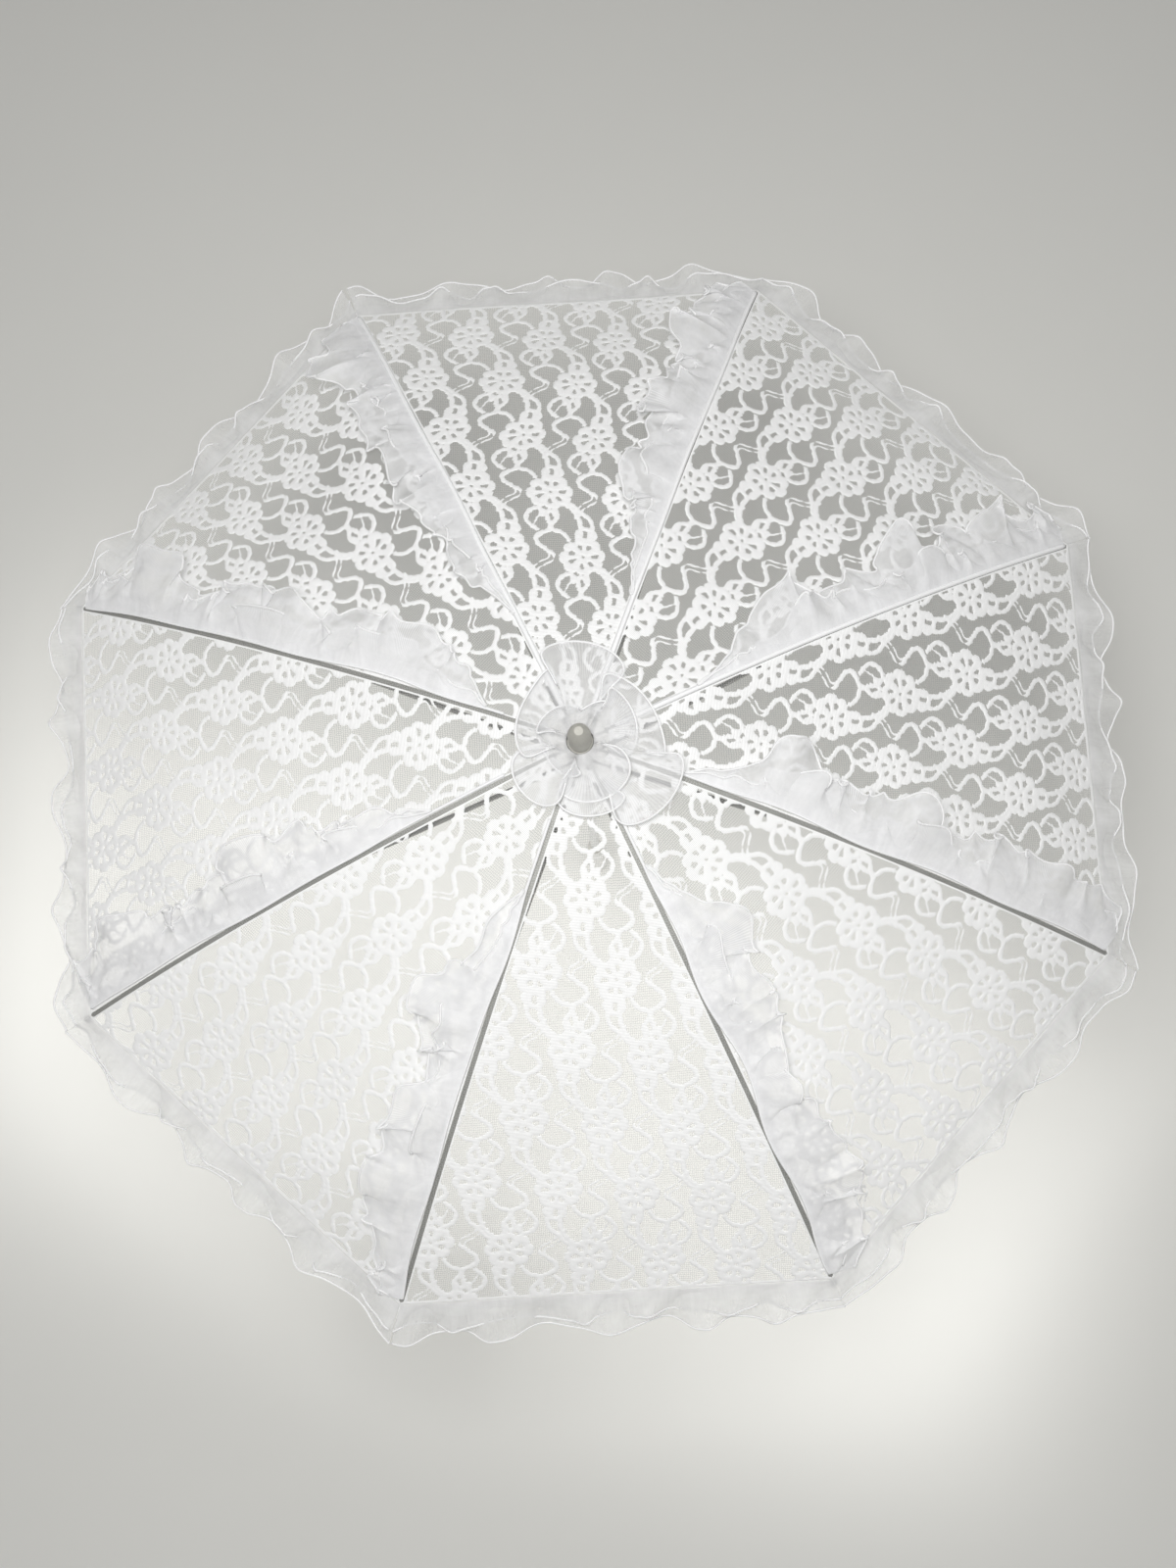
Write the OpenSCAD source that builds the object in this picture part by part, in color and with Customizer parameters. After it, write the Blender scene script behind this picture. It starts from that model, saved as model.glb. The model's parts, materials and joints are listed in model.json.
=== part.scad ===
// Lace parasol, shown open: a steel tube with a turned grip, eight channel ribs hinged on a notched
// crown, eight stretchers hinged on a sliding runner, and a lace canopy with organza ruffles.
// +Z runs up the shaft to the ferrule. The origin is the centre of the grip. Millimetres.

/* [Canopy] */
// Distance from the shaft's axis to a rib's tip, open
tip_radius = 400; // [370:5:420]
// Height of the open dome, from the crown's hinge ring down to the rib tips
dome_depth = 140; // [130:2:150]
// How far each rib bows out from a straight line
rib_bow = 30; // [26:1:34]
// How far the lace dips between two ribs
lace_sag = 6; // [0:1:10]
// Width of the organza frill round the hem
hem_ruffle_width = 36; // [24:1:40]
// Width of the organza frill along each rib
rib_ruffle_width = 30; // [20:1:36]
// Share of the rib's length, from the crown, that has no frill
rib_ruffle_start = 0.24; // [0.2:0.01:0.4]

/* [Linkage] */
// Radius of the hinge rings in the crown and in the runner
hinge_ring_radius = 9; // [9:0.5:10]
// Length of a stretcher, and the distance from the crown's hinge to its rivet on the rib
stretcher_length = 165; // [155:1:170]

/* [Shaft and grip] */
// Height of the crown's hinge ring above the origin
crown_height = 560; // [550:1:580]
// Outer radius of the shaft
shaft_radius = 4; // [4:0.1:4.1]
// Radius of the grip
grip_radius = 9; // [8:0.5:10]
// Length of the grip's straight stretch
grip_length = 70; // [60:2:80]

/* [Hidden] */
$fn = 48;

rib_count = 8;
rib_step = 360 / rib_count;
half_step = rib_step / 2;
eps = 0.01;

// A rib's centreline is an arc in the XZ plane, from the crown's hinge to the tip
chord_x = tip_radius - hinge_ring_radius;
chord_length = sqrt(chord_x * chord_x + dome_depth * dome_depth);
arc_radius = chord_length * chord_length / (8 * rib_bow) + rib_bow / 2;
chord_drop = atan(dome_depth / chord_x);
arc_half_angle = asin(chord_length / 2 / arc_radius);
hub_slope = chord_drop - arc_half_angle;
arc_centre = [
    (hinge_ring_radius + tip_radius) / 2 - (arc_radius - rib_bow) * sin(chord_drop),
    -dome_depth / 2 - (arc_radius - rib_bow) * cos(chord_drop)
];
hub_angle = 90 - hub_slope;
tip_angle = hub_angle - 2 * arc_half_angle;

// Two equal links, crown hinge to rivet and rivet to runner, keep the runner's hinge under the crown's
rivet_arc = 2 * asin(stretcher_length / 2 / arc_radius);
rivet_slope = hub_slope + rivet_arc / 2;
rivet_x = hinge_ring_radius + stretcher_length * cos(rivet_slope);
rivet_z = -stretcher_length * sin(rivet_slope);
runner_z = 2 * rivet_z;

// Closed, the ribs have turned down by the fold angle and the runner has slid down by this much
fold_angle = 69;
closed_runner_drop = 2 * stretcher_length * sin(rivet_slope + fold_angle) + runner_z;

// Channel sections, eyes and fits
rib_width = 3.4;
rib_wall = 0.5;
rib_web_top = 2.5;
rib_lip = -1.1;
rib_channel_start = 10;
stretcher_width = 3;
stretcher_half_height = 1.4;
stretcher_channel_start = 11;
tab_thickness = 1.4;
eye_radius = 1.7;
rivet_eye_radius = 1.5;
wire_radius = 0.6;
wire_clearance = 0.09;
rivet_radius = 0.78;
rivet_clearance = 0.06;
rivet_head_radius = 1.5;
rivet_head_height = 0.5;
rivet_head_taper = 0.4;
rivet_head_gap = 0.02;
slot_width = 1.9;
tab_overlap = 5;
tab_turn = 0.4;
tab_inset = 0.1;
cross_hole_length = 10;

// The spigot at a rib's end and the bead pushed over it
spigot_radius = 1.2;
spigot_root = 3;
spigot_length = 6;
tip_gap = 0.2;
tip_sleeve_radius = 2.1;
tip_sleeve_length = 5;
tip_bead_radius = 2.9;
tip_bead_height = 7.2;

// How far a cutting shape reaches past the faces that it cuts
over = 1;

// The crown that the ribs hinge in and the one on top of the runner
crown_radius = 11.2;
crown_below = 4;
crown_above = 2.5;
slot_floor_radius = 6.9;
fit_gap = 0.05;

// Shaft, ferrule, runner and catches
shaft_bore = 3.4;
shaft_bottom = 5;
shaft_above_crown = 24;
ferrule_base = 4.4;
ferrule_barrel = 17;
ferrule_nose = 17;
ferrule_radius = 8;
ferrule_nose_radius = 3;
ferrule_foot = 4;
ferrule_flange = 0.6;
ferrule_flange_height = 2;
ferrule_neck_inset = 1.4;
ferrule_bore_gap = 0.5;
ogive_radius = (ferrule_nose * ferrule_nose + (ferrule_radius - ferrule_nose_radius)
    * (ferrule_radius - ferrule_nose_radius)) / (2 * (ferrule_radius - ferrule_nose_radius));
runner_bore = 4.3;
runner_sleeve_radius = 6.6;
runner_length = 42;
runner_flange_radius = 9.5;
runner_flange_height = 3.5;
pin_radius = 0.6;
stop_pin_gap = 0.3;
stop_pin_reach = 1.5;
catch_width = 1.8;
catch_slot_width = 2.3;
catch_slot_start = 3;
catch_length = 24;
catch_shoulder = 7;
catch_bend = 6;
catch_eye = 1.5;
catch_nose = 7.2;
catch_gap = 0.4;

// Turned details above the grip's straight stretch: a neck, a bead, a waist and a taper, then the collar
neck_inset = 1.2;
neck_height = 2.5;
bead_inset = 3.5;
bead_radius = 3.6;
bead_height = 5.5;
waist_start = 2;
waist_height = 7.2;
taper_start = 9;
taper_end = 27;
taper_foot_inset = 1.5;
taper_top = 2.2;
collar_gap = 0.1;
collar_rings = [[2.6, 0, 2], [1.8, 1.9, 5.2], [2.2, 7, 1.6]];
collar_height = 8.6;

// Soft parts
lace_lift = rib_web_top + 1.1;
lace_thickness = 0.8;
lace_stations = 16;
lace_start = 0.008;
seam_gap = 0.2;
hem_gap = 0.6;
rib_ruffle_end = 0.985;
ruffle_lift = 0.6;
ruffle_thickness = 1.2;
ruffle_height = 6;
rosette_inner = 9.6;
rosette_outer = 54;
rosette_low = 5;
rosette_high = 19;
rosette_rim = 3;
rosette_rim_drop = 0.5;
rosette_shoulder = 8;

// A point of the rib's arc in the XZ plane, at a share of its length and an offset outwards
function arc_at(t, lift = 0) =
    let (a = hub_angle + (tip_angle - hub_angle) * t)
    [arc_centre[0] + (arc_radius + lift) * cos(a), arc_centre[1] + (arc_radius + lift) * sin(a)];

// A point of the lace: t along the rib, u from the rib (0) to the middle of the gore (1)
function lace_at(t, u, lift) =
    let (
        p = arc_at(t, lift),
        mid = [p[0] * cos(half_step) * cos(half_step) + seam_gap * sin(half_step),
            p[0] * cos(half_step) * sin(half_step) - seam_gap * cos(half_step)]
    )
    [p[0] + (mid[0] - p[0]) * u, mid[1] * u, p[1] - lace_sag * u * sin(180 * t)];

// Width of the frill on a rib at a share of the rib's length: it tapers where it starts
function frill_width(t) = rib_ruffle_width * min(1, 0.45 + 2 * (t - rib_ruffle_start));

// Rows of points across the frill on a rib, at a height over the rib's arc
function frill_grid(stations, lift) =
    [for (t = stations) let (p = arc_at(t, lift)) [for (y = [0, frill_width(t)]) [p[0], y, p[1]]]];

// Two rows of points along the hem's frill, from the lace's edge outwards and down the tip's slope
function hem_grid(lift) =
    let (
        out = hem_ruffle_width * sin(tip_angle),
        down = hem_ruffle_width * cos(tip_angle)
    )
    [for (v = [0, 1]) [for (u = [0, 1])
        let (r = hem_gap + out * v)
        lace_at(1, u, lift) + [r * (1 - u * sin(half_step) * sin(half_step)),
            r * sin(half_step) * cos(half_step) * u, -down * v - hem_gap / 2]
    ]];

// A closed sheet between an outer and an inner grid of points, both rows by columns
module sheet_solid(outer, inner) {
    rows = len(outer);
    cols = len(outer[0]);
    count = rows * cols;
    points = [for (grid = [outer, inner]) for (row = grid) for (p = row) p];
    faces = concat(
        [for (i = [0 : rows - 2]) for (j = [0 : cols - 2])
            for (f = [[0, cols, cols + 1], [0, cols + 1, 1]]) [for (n = f) i * cols + j + n]],
        [for (i = [0 : rows - 2]) for (j = [0 : cols - 2])
            for (f = [[0, cols + 1, cols], [0, 1, cols + 1]]) [for (n = f) count + i * cols + j + n]],
        [for (i = [0 : rows - 2]) for (f = [[0, count, count + cols], [0, count + cols, cols]])
            [for (n = f) i * cols + n]],
        [for (i = [0 : rows - 2]) for (f = [[0, count + cols, count], [0, cols, count + cols]])
            [for (n = f) i * cols + cols - 1 + n]],
        [for (j = [0 : cols - 2]) for (f = [[0, count + 1, count], [0, 1, count + 1]])
            [for (n = f) j + n]],
        [for (j = [0 : cols - 2]) for (f = [[0, count, count + 1], [0, count + 1, 1]])
            [for (n = f) (rows - 1) * cols + j + n]]
    );
    polyhedron(points, faces, convexity = 6);
}

// Places a rib's own parts: the XZ plane turned to rib k, at the crown's height
module at_rib(k) {
    rotate([0, 0, half_step + rib_step * (k - 1)]) translate([0, 0, crown_height]) children();
}

// A flat plate in the XZ plane, centred on Y
module plate(thickness) {
    rotate([90, 0, 0]) linear_extrude(thickness, center = true) children();
}

// A cylinder along Y, centred on the origin: a pin, or the hole for one
module cross_pin(radius, length) {
    rotate([90, 0, 0]) cylinder(r = radius, h = length, center = true);
}

// The shape that cuts a round hole along Z right through a piece, from its lower face to its upper one
module bore(radius, low, high) {
    translate([0, 0, low - over]) cylinder(r = radius, h = high - low + 2 * over);
}

// A notched disc with a ring channel for the hinge wire
module notched_crown(below, above) {
    difference() {
        translate([0, 0, -below]) cylinder(r = crown_radius, h = below + above);
        for (k = [1 : rib_count])
            rotate([0, 0, half_step + rib_step * (k - 1)])
                translate([slot_floor_radius, -slot_width / 2, -below - over])
                    cube([crown_radius, slot_width, below + above + 2 * over]);
        rotate_extrude() translate([hinge_ring_radius, 0]) circle(r = wire_radius + wire_clearance);
    }
}

module hinge_wire() {
    rotate_extrude() translate([hinge_ring_radius, 0]) circle(r = wire_radius);
}

module top_notch() {
    color("gainsboro") translate([0, 0, crown_height]) difference() {
        notched_crown(crown_below, crown_above);
        bore(shaft_radius + fit_gap, -crown_below, crown_above);
    }
}

module notch_wire() {
    color("silver") translate([0, 0, crown_height]) hinge_wire();
}

module runner_wire() {
    color("silver") translate([0, 0, crown_height + runner_z]) hinge_wire();
}

module runner() {
    color("white") translate([0, 0, crown_height + runner_z]) difference() {
        union() {
            notched_crown(crown_below, crown_above);
            translate([0, 0, -runner_length])
                cylinder(r = runner_sleeve_radius, h = runner_length - crown_below + eps);
            translate([0, 0, -runner_length])
                cylinder(r = runner_flange_radius, h = runner_flange_height);
        }
        bore(runner_bore, -runner_length, crown_above);
    }
}

// Slot for a catch in the shaft's wall, and the hole of its pin, from the catch's own pin upwards
module catch_cut() {
    translate([0, -catch_slot_width / 2, catch_slot_start])
        cube([2 * shaft_radius, catch_slot_width, catch_length]);
    cross_pin(pin_radius + fit_gap, 4 * shaft_radius);
}

top_catch_z = crown_height + runner_z - runner_length - catch_gap - catch_length;
bottom_catch_z = crown_height + runner_z - closed_runner_drop + crown_above + catch_gap + catch_length;
stop_pin_z = crown_height + runner_z + crown_above + pin_radius + stop_pin_gap;

module shaft_tube() {
    color("gainsboro") difference() {
        translate([0, 0, shaft_bottom])
            cylinder(r = shaft_radius, h = crown_height + shaft_above_crown - shaft_bottom);
        bore(shaft_bore, shaft_bottom, crown_height + shaft_above_crown);
        translate([0, 0, top_catch_z]) catch_cut();
        translate([0, 0, bottom_catch_z]) mirror([0, 0, 1]) catch_cut();
        translate([0, 0, stop_pin_z]) cross_pin(pin_radius + fit_gap, 4 * shaft_radius);
    }
}

module shaft_pins() {
    color("silver") {
        for (z = [top_catch_z, bottom_catch_z])
            translate([0, 0, z]) cross_pin(pin_radius, 2 * shaft_radius);
        translate([0, 0, stop_pin_z]) cross_pin(pin_radius, 2 * (shaft_radius + stop_pin_reach));
    }
}

// A catch: a flat leaf hinged on its pin, with a flat shoulder and a sloping ramp outside the tube
module catch_leaf() {
    plate(catch_width) difference() {
        union() {
            circle(r = catch_eye);
            polygon([[-catch_eye, 0], [catch_eye, 0], [2.4, catch_bend],
                [catch_nose, catch_length - catch_shoulder], [catch_nose, catch_length],
                [0.6, catch_length], [0.2, catch_bend]]);
        }
        circle(r = pin_radius + rivet_clearance);
    }
}

module top_spring() {
    color("silver") translate([0, 0, top_catch_z]) catch_leaf();
}

module bottom_spring() {
    color("silver") translate([0, 0, bottom_catch_z]) mirror([0, 0, 1]) catch_leaf();
}

module ferrule() {
    color("silver") translate([0, 0, crown_height]) difference() {
        rotate_extrude() {
            translate([0, ferrule_base]) square([ferrule_radius + ferrule_flange, ferrule_flange_height]);
            translate([0, ferrule_base + ferrule_flange_height / 2])
                square([ferrule_radius - ferrule_neck_inset, ferrule_foot]);
            translate([0, ferrule_base + ferrule_foot]) square([ferrule_radius, ferrule_barrel]);
            intersection() {
                translate([0, ferrule_base + ferrule_foot + ferrule_barrel - eps])
                    square([ferrule_radius, ferrule_nose]);
                translate([ferrule_radius - ogive_radius, ferrule_base + ferrule_foot + ferrule_barrel])
                    circle(r = ogive_radius, $fn = 96);
            }
        }
        translate([0, 0, ferrule_base - over])
            cylinder(r = shaft_radius + fit_gap,
                h = shaft_above_crown - ferrule_base + over + ferrule_bore_gap);
    }
}

module crown_rosette() {
    color("white", 0.8) translate([0, 0, crown_height]) rotate_extrude()
        polygon([[rosette_inner, rosette_low], [rosette_outer, rosette_low - rosette_rim_drop],
            [rosette_outer, rosette_low + rosette_rim], [rosette_inner + rosette_shoulder, rosette_high],
            [rosette_inner, rosette_high - rosette_rim]]);
}

// The turned grip: a rounded end, a straight stretch, a bead and a taper up to the collar
module handle() {
    top = grip_length / 2;
    color("ivory") difference() {
        rotate_extrude() {
            intersection() {
                translate([0, -top - grip_radius]) square([grip_radius, grip_radius + over]);
                translate([0, -top]) circle(r = grip_radius);
            }
            translate([0, -top]) square([grip_radius, grip_length]);
            translate([0, top - eps]) square([grip_radius - neck_inset, neck_height]);
            translate([grip_radius - bead_inset, top + bead_height]) circle(r = bead_radius);
            translate([0, top + waist_start]) square([grip_radius - bead_inset, waist_height]);
            polygon([[0, top + taper_start], [grip_radius - taper_foot_inset, top + taper_start],
                [shaft_radius + taper_top, top + taper_end], [0, top + taper_end]]);
        }
        translate([0, 0, shaft_bottom - over]) cylinder(r = shaft_radius + fit_gap, h = crown_height);
    }
}

module handle_collar() {
    color("silver") translate([0, 0, grip_length / 2 + taper_end + collar_gap]) difference() {
        rotate_extrude()
            for (ring = collar_rings)
                translate([0, ring[1]]) square([shaft_radius + ring[0], ring[2]]);
        bore(shaft_radius + fit_gap, 0, collar_height);
    }
}

// Rib k: an arched channel, open below, with an eye for the crown's wire and a spigot at the tip
module rib(k) {
    tip = arc_at(1);
    inner = rib_width / 2 - rib_wall;
    color("darkgray") at_rib(k) difference() {
        union() {
            translate([arc_centre[0], 0, arc_centre[1]]) rotate([90, 0, 0]) rotate([0, 0, tip_angle])
                rotate_extrude(angle = hub_angle - tip_angle - rib_channel_start / arc_radius * 180 / PI)
                    translate([arc_radius, 0]) polygon([
                        [rib_lip, -rib_width / 2], [rib_web_top, -rib_width / 2],
                        [rib_web_top, rib_width / 2], [rib_lip, rib_width / 2],
                        [rib_lip, inner], [rib_web_top - rib_wall, inner],
                        [rib_web_top - rib_wall, -inner], [rib_lip, -inner]]);
            translate([hinge_ring_radius, 0, 0]) rotate([0, hub_slope + tab_turn, 0]) plate(tab_thickness) {
                circle(r = eye_radius);
                translate([0, rib_lip])
                    square([rib_channel_start + tab_overlap, rib_web_top - rib_wall / 2 - rib_lip]);
            }
            translate([tip[0], 0, tip[1]]) rotate([0, 180 - tip_angle, 0]) {
                translate([0, 0, -spigot_root]) cylinder(r = spigot_radius, h = spigot_root + spigot_length);
                translate([-rib_web_top + eps, -rib_width / 2 + eps, -spigot_root])
                    cube([rib_web_top - rib_lip - 2 * eps, rib_width - 2 * eps, spigot_root]);
            }
        }
        translate([hinge_ring_radius, 0, 0]) cross_pin(wire_radius + wire_clearance, cross_hole_length);
        translate([rivet_x, 0, rivet_z]) cross_pin(rivet_radius + rivet_head_gap, cross_hole_length);
    }
}

// The bead pushed over a rib's spigot, which the canopy's corner is sewn to
module rib_tip(k) {
    tip = arc_at(1);
    color("white") at_rib(k) translate([tip[0], 0, tip[1]]) rotate([0, 180 - tip_angle, 0]) difference() {
        rotate_extrude() {
            translate([0, tip_gap]) square([tip_sleeve_radius, tip_sleeve_length]);
            intersection() {
                translate([0, tip_bead_height - tip_bead_radius])
                    square([tip_bead_radius, 2 * tip_bead_radius]);
                translate([0, tip_bead_height]) circle(r = tip_bead_radius);
            }
        }
        translate([0, 0, -over]) cylinder(r = spigot_radius + fit_gap, h = over + spigot_length + tip_gap);
    }
}

// The rivet that joins rib k to its stretcher, with a head on each side
module rib_rivet(k) {
    outside = rib_width / 2 + rivet_head_gap;
    color("silver") at_rib(k) translate([rivet_x, 0, rivet_z]) rotate([90, 0, 0]) {
        cylinder(r = rivet_radius, h = 2 * outside, center = true);
        for (side = [0, 1])
            mirror([0, 0, side]) translate([0, 0, outside - eps])
                cylinder(r1 = rivet_head_radius, r2 = rivet_head_radius - rivet_head_taper,
                    h = rivet_head_height);
    }
}

// Stretcher k: a straight channel between two flat eyes
module stretcher(k) {
    half = stretcher_width / 2;
    inner = half - rib_wall;
    body = stretcher_length - 2 * stretcher_channel_start;
    tab = [stretcher_channel_start + tab_overlap, 2 * (stretcher_half_height - 2 * tab_inset)];
    color("darkgray") at_rib(k)
    translate([hinge_ring_radius, 0, runner_z]) rotate([0, -rivet_slope, 0]) difference() {
        union() {
            translate([stretcher_channel_start, 0, 0]) rotate([90, 0, 90]) linear_extrude(body) polygon([
                [-half, stretcher_half_height], [-half, -stretcher_half_height],
                [half, -stretcher_half_height], [half, stretcher_half_height],
                [inner, stretcher_half_height], [inner, -stretcher_half_height + rib_wall],
                [-inner, -stretcher_half_height + rib_wall], [-inner, stretcher_half_height]]);
            plate(tab_thickness) {
                circle(r = eye_radius);
                for (x = [0, stretcher_length - tab[0]])
                    translate([x, -stretcher_half_height + tab_inset]) square(tab);
                translate([stretcher_length, 0]) circle(r = rivet_eye_radius);
            }
        }
        cross_pin(wire_radius + wire_clearance, cross_hole_length);
        translate([stretcher_length, 0, 0]) cross_pin(rivet_radius + rivet_clearance, cross_hole_length);
    }
}

// The lace sewn to rib k: two sheets, each half a gore wide, that meet over the rib
module lace_panel(k) {
    stations = [for (i = [0 : lace_stations]) lace_start + (1 - lace_start) * i / lace_stations];
    color("white", 0.7) at_rib(k) for (side = [0, 1]) mirror([0, side, 0]) sheet_solid(
        [for (t = stations) [for (u = [0, 1]) lace_at(t, u, lace_lift + lace_thickness)]],
        [for (t = stations) [for (u = [0, 1]) lace_at(t, u, lace_lift)]]
    );
}

// The organza of rib k: a frill that lies along the seam and two lengths of the hem's frill
module organza_ruffle(k) {
    stations = [for (i = [0 : lace_stations])
        rib_ruffle_start + (rib_ruffle_end - rib_ruffle_start) * i / lace_stations];
    color("white", 0.6) at_rib(k) {
        sheet_solid(
            frill_grid(stations, lace_lift + lace_thickness + ruffle_height),
            frill_grid(stations, lace_lift + lace_thickness + ruffle_lift)
        );
        for (side = [0, 1])
            mirror([0, side, 0]) sheet_solid(hem_grid(lace_lift + ruffle_thickness), hem_grid(lace_lift));
    }
}

shaft_tube();
shaft_pins();
ferrule();
top_notch();
notch_wire();
crown_rosette();
handle();
handle_collar();
top_spring();
bottom_spring();
runner();
runner_wire();
for (k = [1 : rib_count]) {
    rib(k);
    rib_tip(k);
    rib_rivet(k);
    stretcher(k);
    lace_panel(k);
    organza_ruffle(k);
}
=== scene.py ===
"""Lace parasol: lace, net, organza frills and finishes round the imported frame. Metres, +Z up the shaft."""
import json
import math

import bpy
import numpy as np
from mathutils import Matrix, Vector


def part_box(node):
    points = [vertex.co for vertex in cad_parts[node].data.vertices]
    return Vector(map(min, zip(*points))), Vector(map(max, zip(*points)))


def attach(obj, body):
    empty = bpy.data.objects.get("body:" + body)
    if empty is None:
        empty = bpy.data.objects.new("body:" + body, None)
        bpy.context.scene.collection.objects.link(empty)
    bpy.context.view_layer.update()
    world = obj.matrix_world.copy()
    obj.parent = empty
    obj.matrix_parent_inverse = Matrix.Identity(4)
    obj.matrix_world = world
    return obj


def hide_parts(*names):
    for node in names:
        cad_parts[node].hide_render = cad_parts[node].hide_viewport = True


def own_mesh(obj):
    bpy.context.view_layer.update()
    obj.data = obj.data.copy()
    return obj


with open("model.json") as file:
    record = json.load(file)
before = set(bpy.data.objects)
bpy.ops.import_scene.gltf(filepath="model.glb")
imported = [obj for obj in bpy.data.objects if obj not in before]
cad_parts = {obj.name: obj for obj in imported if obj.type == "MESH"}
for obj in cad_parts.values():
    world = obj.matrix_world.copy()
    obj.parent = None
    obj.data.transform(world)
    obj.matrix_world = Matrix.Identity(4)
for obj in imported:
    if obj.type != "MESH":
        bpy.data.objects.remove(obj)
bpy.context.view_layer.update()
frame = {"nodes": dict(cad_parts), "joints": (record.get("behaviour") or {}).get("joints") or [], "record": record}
MM = 0.001

# ---- The frame's own dimensions ------------------------------------------------------------------
JOINTS = {j["name"]: j for j in frame["joints"]}
RIBS = 8
HALF_STEP = math.pi / RIBS
CROWN = Vector(JOINTS["canopy_fold"]["pos_m"])
CROWN_Z = CROWN.z
HINGE_RADIUS = math.hypot(CROWN.x, CROWN.y)
RIB_AZIMUTH = [math.atan2(CROWN.y, CROWN.x) + 2 * HALF_STEP * k for k in range(RIBS)]
TIP_RADIUS = 400 * MM
DOME_DEPTH = 140 * MM
# How far a rib bows out from its chord
RIB_BOW = 30 * MM

# A rib's centreline is an arc in its own upright plane: from the crown's hinge down to the tip
CHORD_RUN = TIP_RADIUS - HINGE_RADIUS
CHORD = math.hypot(CHORD_RUN, DOME_DEPTH)
CHORD_SLOPE = math.atan2(DOME_DEPTH, CHORD_RUN)
ARC_RADIUS = CHORD ** 2 / (8 * RIB_BOW) + RIB_BOW / 2
ARC_HALF_ANGLE = math.asin(CHORD / 2 / ARC_RADIUS)
HUB_ANGLE = math.pi / 2 - (CHORD_SLOPE - ARC_HALF_ANGLE)
TIP_ANGLE = HUB_ANGLE - 2 * ARC_HALF_ANGLE
ARC_LENGTH = ARC_RADIUS * 2 * ARC_HALF_ANGLE
ARC_X = (HINGE_RADIUS + TIP_RADIUS) / 2 - (ARC_RADIUS - RIB_BOW) * math.sin(CHORD_SLOPE)
ARC_Z = CROWN_Z - DOME_DEPTH / 2 - (ARC_RADIUS - RIB_BOW) * math.cos(CHORD_SLOPE)
TIP_SLOPE = math.pi / 2 - TIP_ANGLE

# ---- Cloth dimensions ----------------------------------------------------------------------------
# Height of the lace over a rib's centreline, and its dip between two ribs
NET_LIFT = 4.0 * MM
GORE_SAG = 7 * MM
SLOW_RIPPLE = 2.1 * MM
QUICK_RIPPLE = 1.3 * MM
# Where the lace starts along a rib, and the spare cloth gathered in there at each side of a gore
NET_START = 12 * MM
HUB_GATHER = 9 * MM
HUB_GATHER_REACH = 55 * MM
# Step of the lace's grid, and the size of the net's grid in one half gore
LACE_STEP = 0.8 * MM
NET_ROWS = 72
NET_COLUMNS = 18
# The woven bands along a gore's seams and its hem
SEAM_GAP = 1.9 * MM
SEAM_BAND = 1.3 * MM
HEM_BAND = 2.2 * MM
# Millimetres: the yarn's height at the pattern's edge, its rise to the middle and how soon it gets there
YARN_EDGE = 0.25
YARN_RISE = 0.5
YARN_ROUND = 0.7
# Millimetres that the pattern is pulled out of true, across a gore and along it
PULL_ACROSS = 1.4
PULL_ALONG = 1.2
SIDE_NAME = {1: "left", -1: "right"}

CORD_RADIUS = 0.75 * MM
FRILL_STEP = 1.3 * MM

# Frills along the ribs: width and lift in mm of each layer, then one value a rib for what differs
RIB_FRILL_WIDTH = 37 * MM
RIB_FRILL_LAYERS = ((RIB_FRILL_WIDTH, 0.8), (RIB_FRILL_WIDTH * 0.58, 1.8))
RIB_FRILL_COLUMNS = 17
FRILL_END = 0.985
FRILL_SIDE = (1, 1, 1, -1, -1, -1, 1, 1)
FRILL_START = (0.19, 0.24, 0.22, 0.14, 0.24, 0.23, 0.20, 0.15)
FRILL_TAPER = [length * MM for length in (95, 120, 120, 45, 95, 80, 60, 70)]
GATHER_PITCH = 43 * MM
GATHER_RISE = 3.0 * MM
GATHER_REACH = 2.4 * MM
GATHER_SLIDE = 5.6 * MM
CREASE_RISE = 0.5 * MM
CREASE_SLIDE = 0.8 * MM
# Where the corded edge springs up in a loop, as shares of the frill's length, and how it moves there
LOOP_PLACES = (0.22, 0.5, 0.78)
LOOP_SCATTER = 25
LOOP_SIZE = 9 * MM
LOOP_RISE = 9 * MM
LOOP_REACH = 0.30
LOOP_SLIDE = 13 * MM
LOOP_STAGGER = 13 * MM
# The seam tape of each rib: millimetres to the side of the rib, its wander and radius, and where it starts
SEAM_LIFT = 1.2 * MM
SEAM_POINTS = 180
SEAM_OFFSET = (0.0, 0.0, 0.0, 2.2, 2.8, 2.2, 2.2, 2.6)
SEAM_WANDER = (0.3, 0.3, 0.3, 1.5, 1.5, 1.5, 1.5, 1.5)
SEAM_RADIUS = (1.9, 1.9, 1.9, 1.1, 1.1, 1.1, 1.1, 1.1)
SEAM_START = (0.04, 0.04, 0.04, 0.11, 0.11, 0.11, 0.11, 0.11)

# The frill round the hem: width, lift in mm and height of the waves in mm of each layer
HEM_FRILL_WIDTH = 36 * MM
HEM_LAYERS = ((HEM_FRILL_WIDTH, 0.4, 6.0), (HEM_FRILL_WIDTH * 0.66, 1.6, 4.5))
HEM_COLUMNS = 13
HEM_WAVES = 37
HEM_WAVES_MORE = 8
HEM_DIP = math.radians(4)
# Past this share of a half gore's width the frill turns round the corner at the rib
CORNER_START = 0.72

# The rosette's tiers: petals, then reach, height and lift in mm
ROSETTE_TIERS = ((6, 70, 8, 6.5), (4, 42, 13, 10.0))
ROSETTE_BORE = 9.5
ROSETTE_SWING = -1.6
ROSETTE_POINTS = 420
ROSETTE_COLUMNS = 18

FLOOR_GAP = 0.5 * MM
FLOOR_HALF = 30.0


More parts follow.
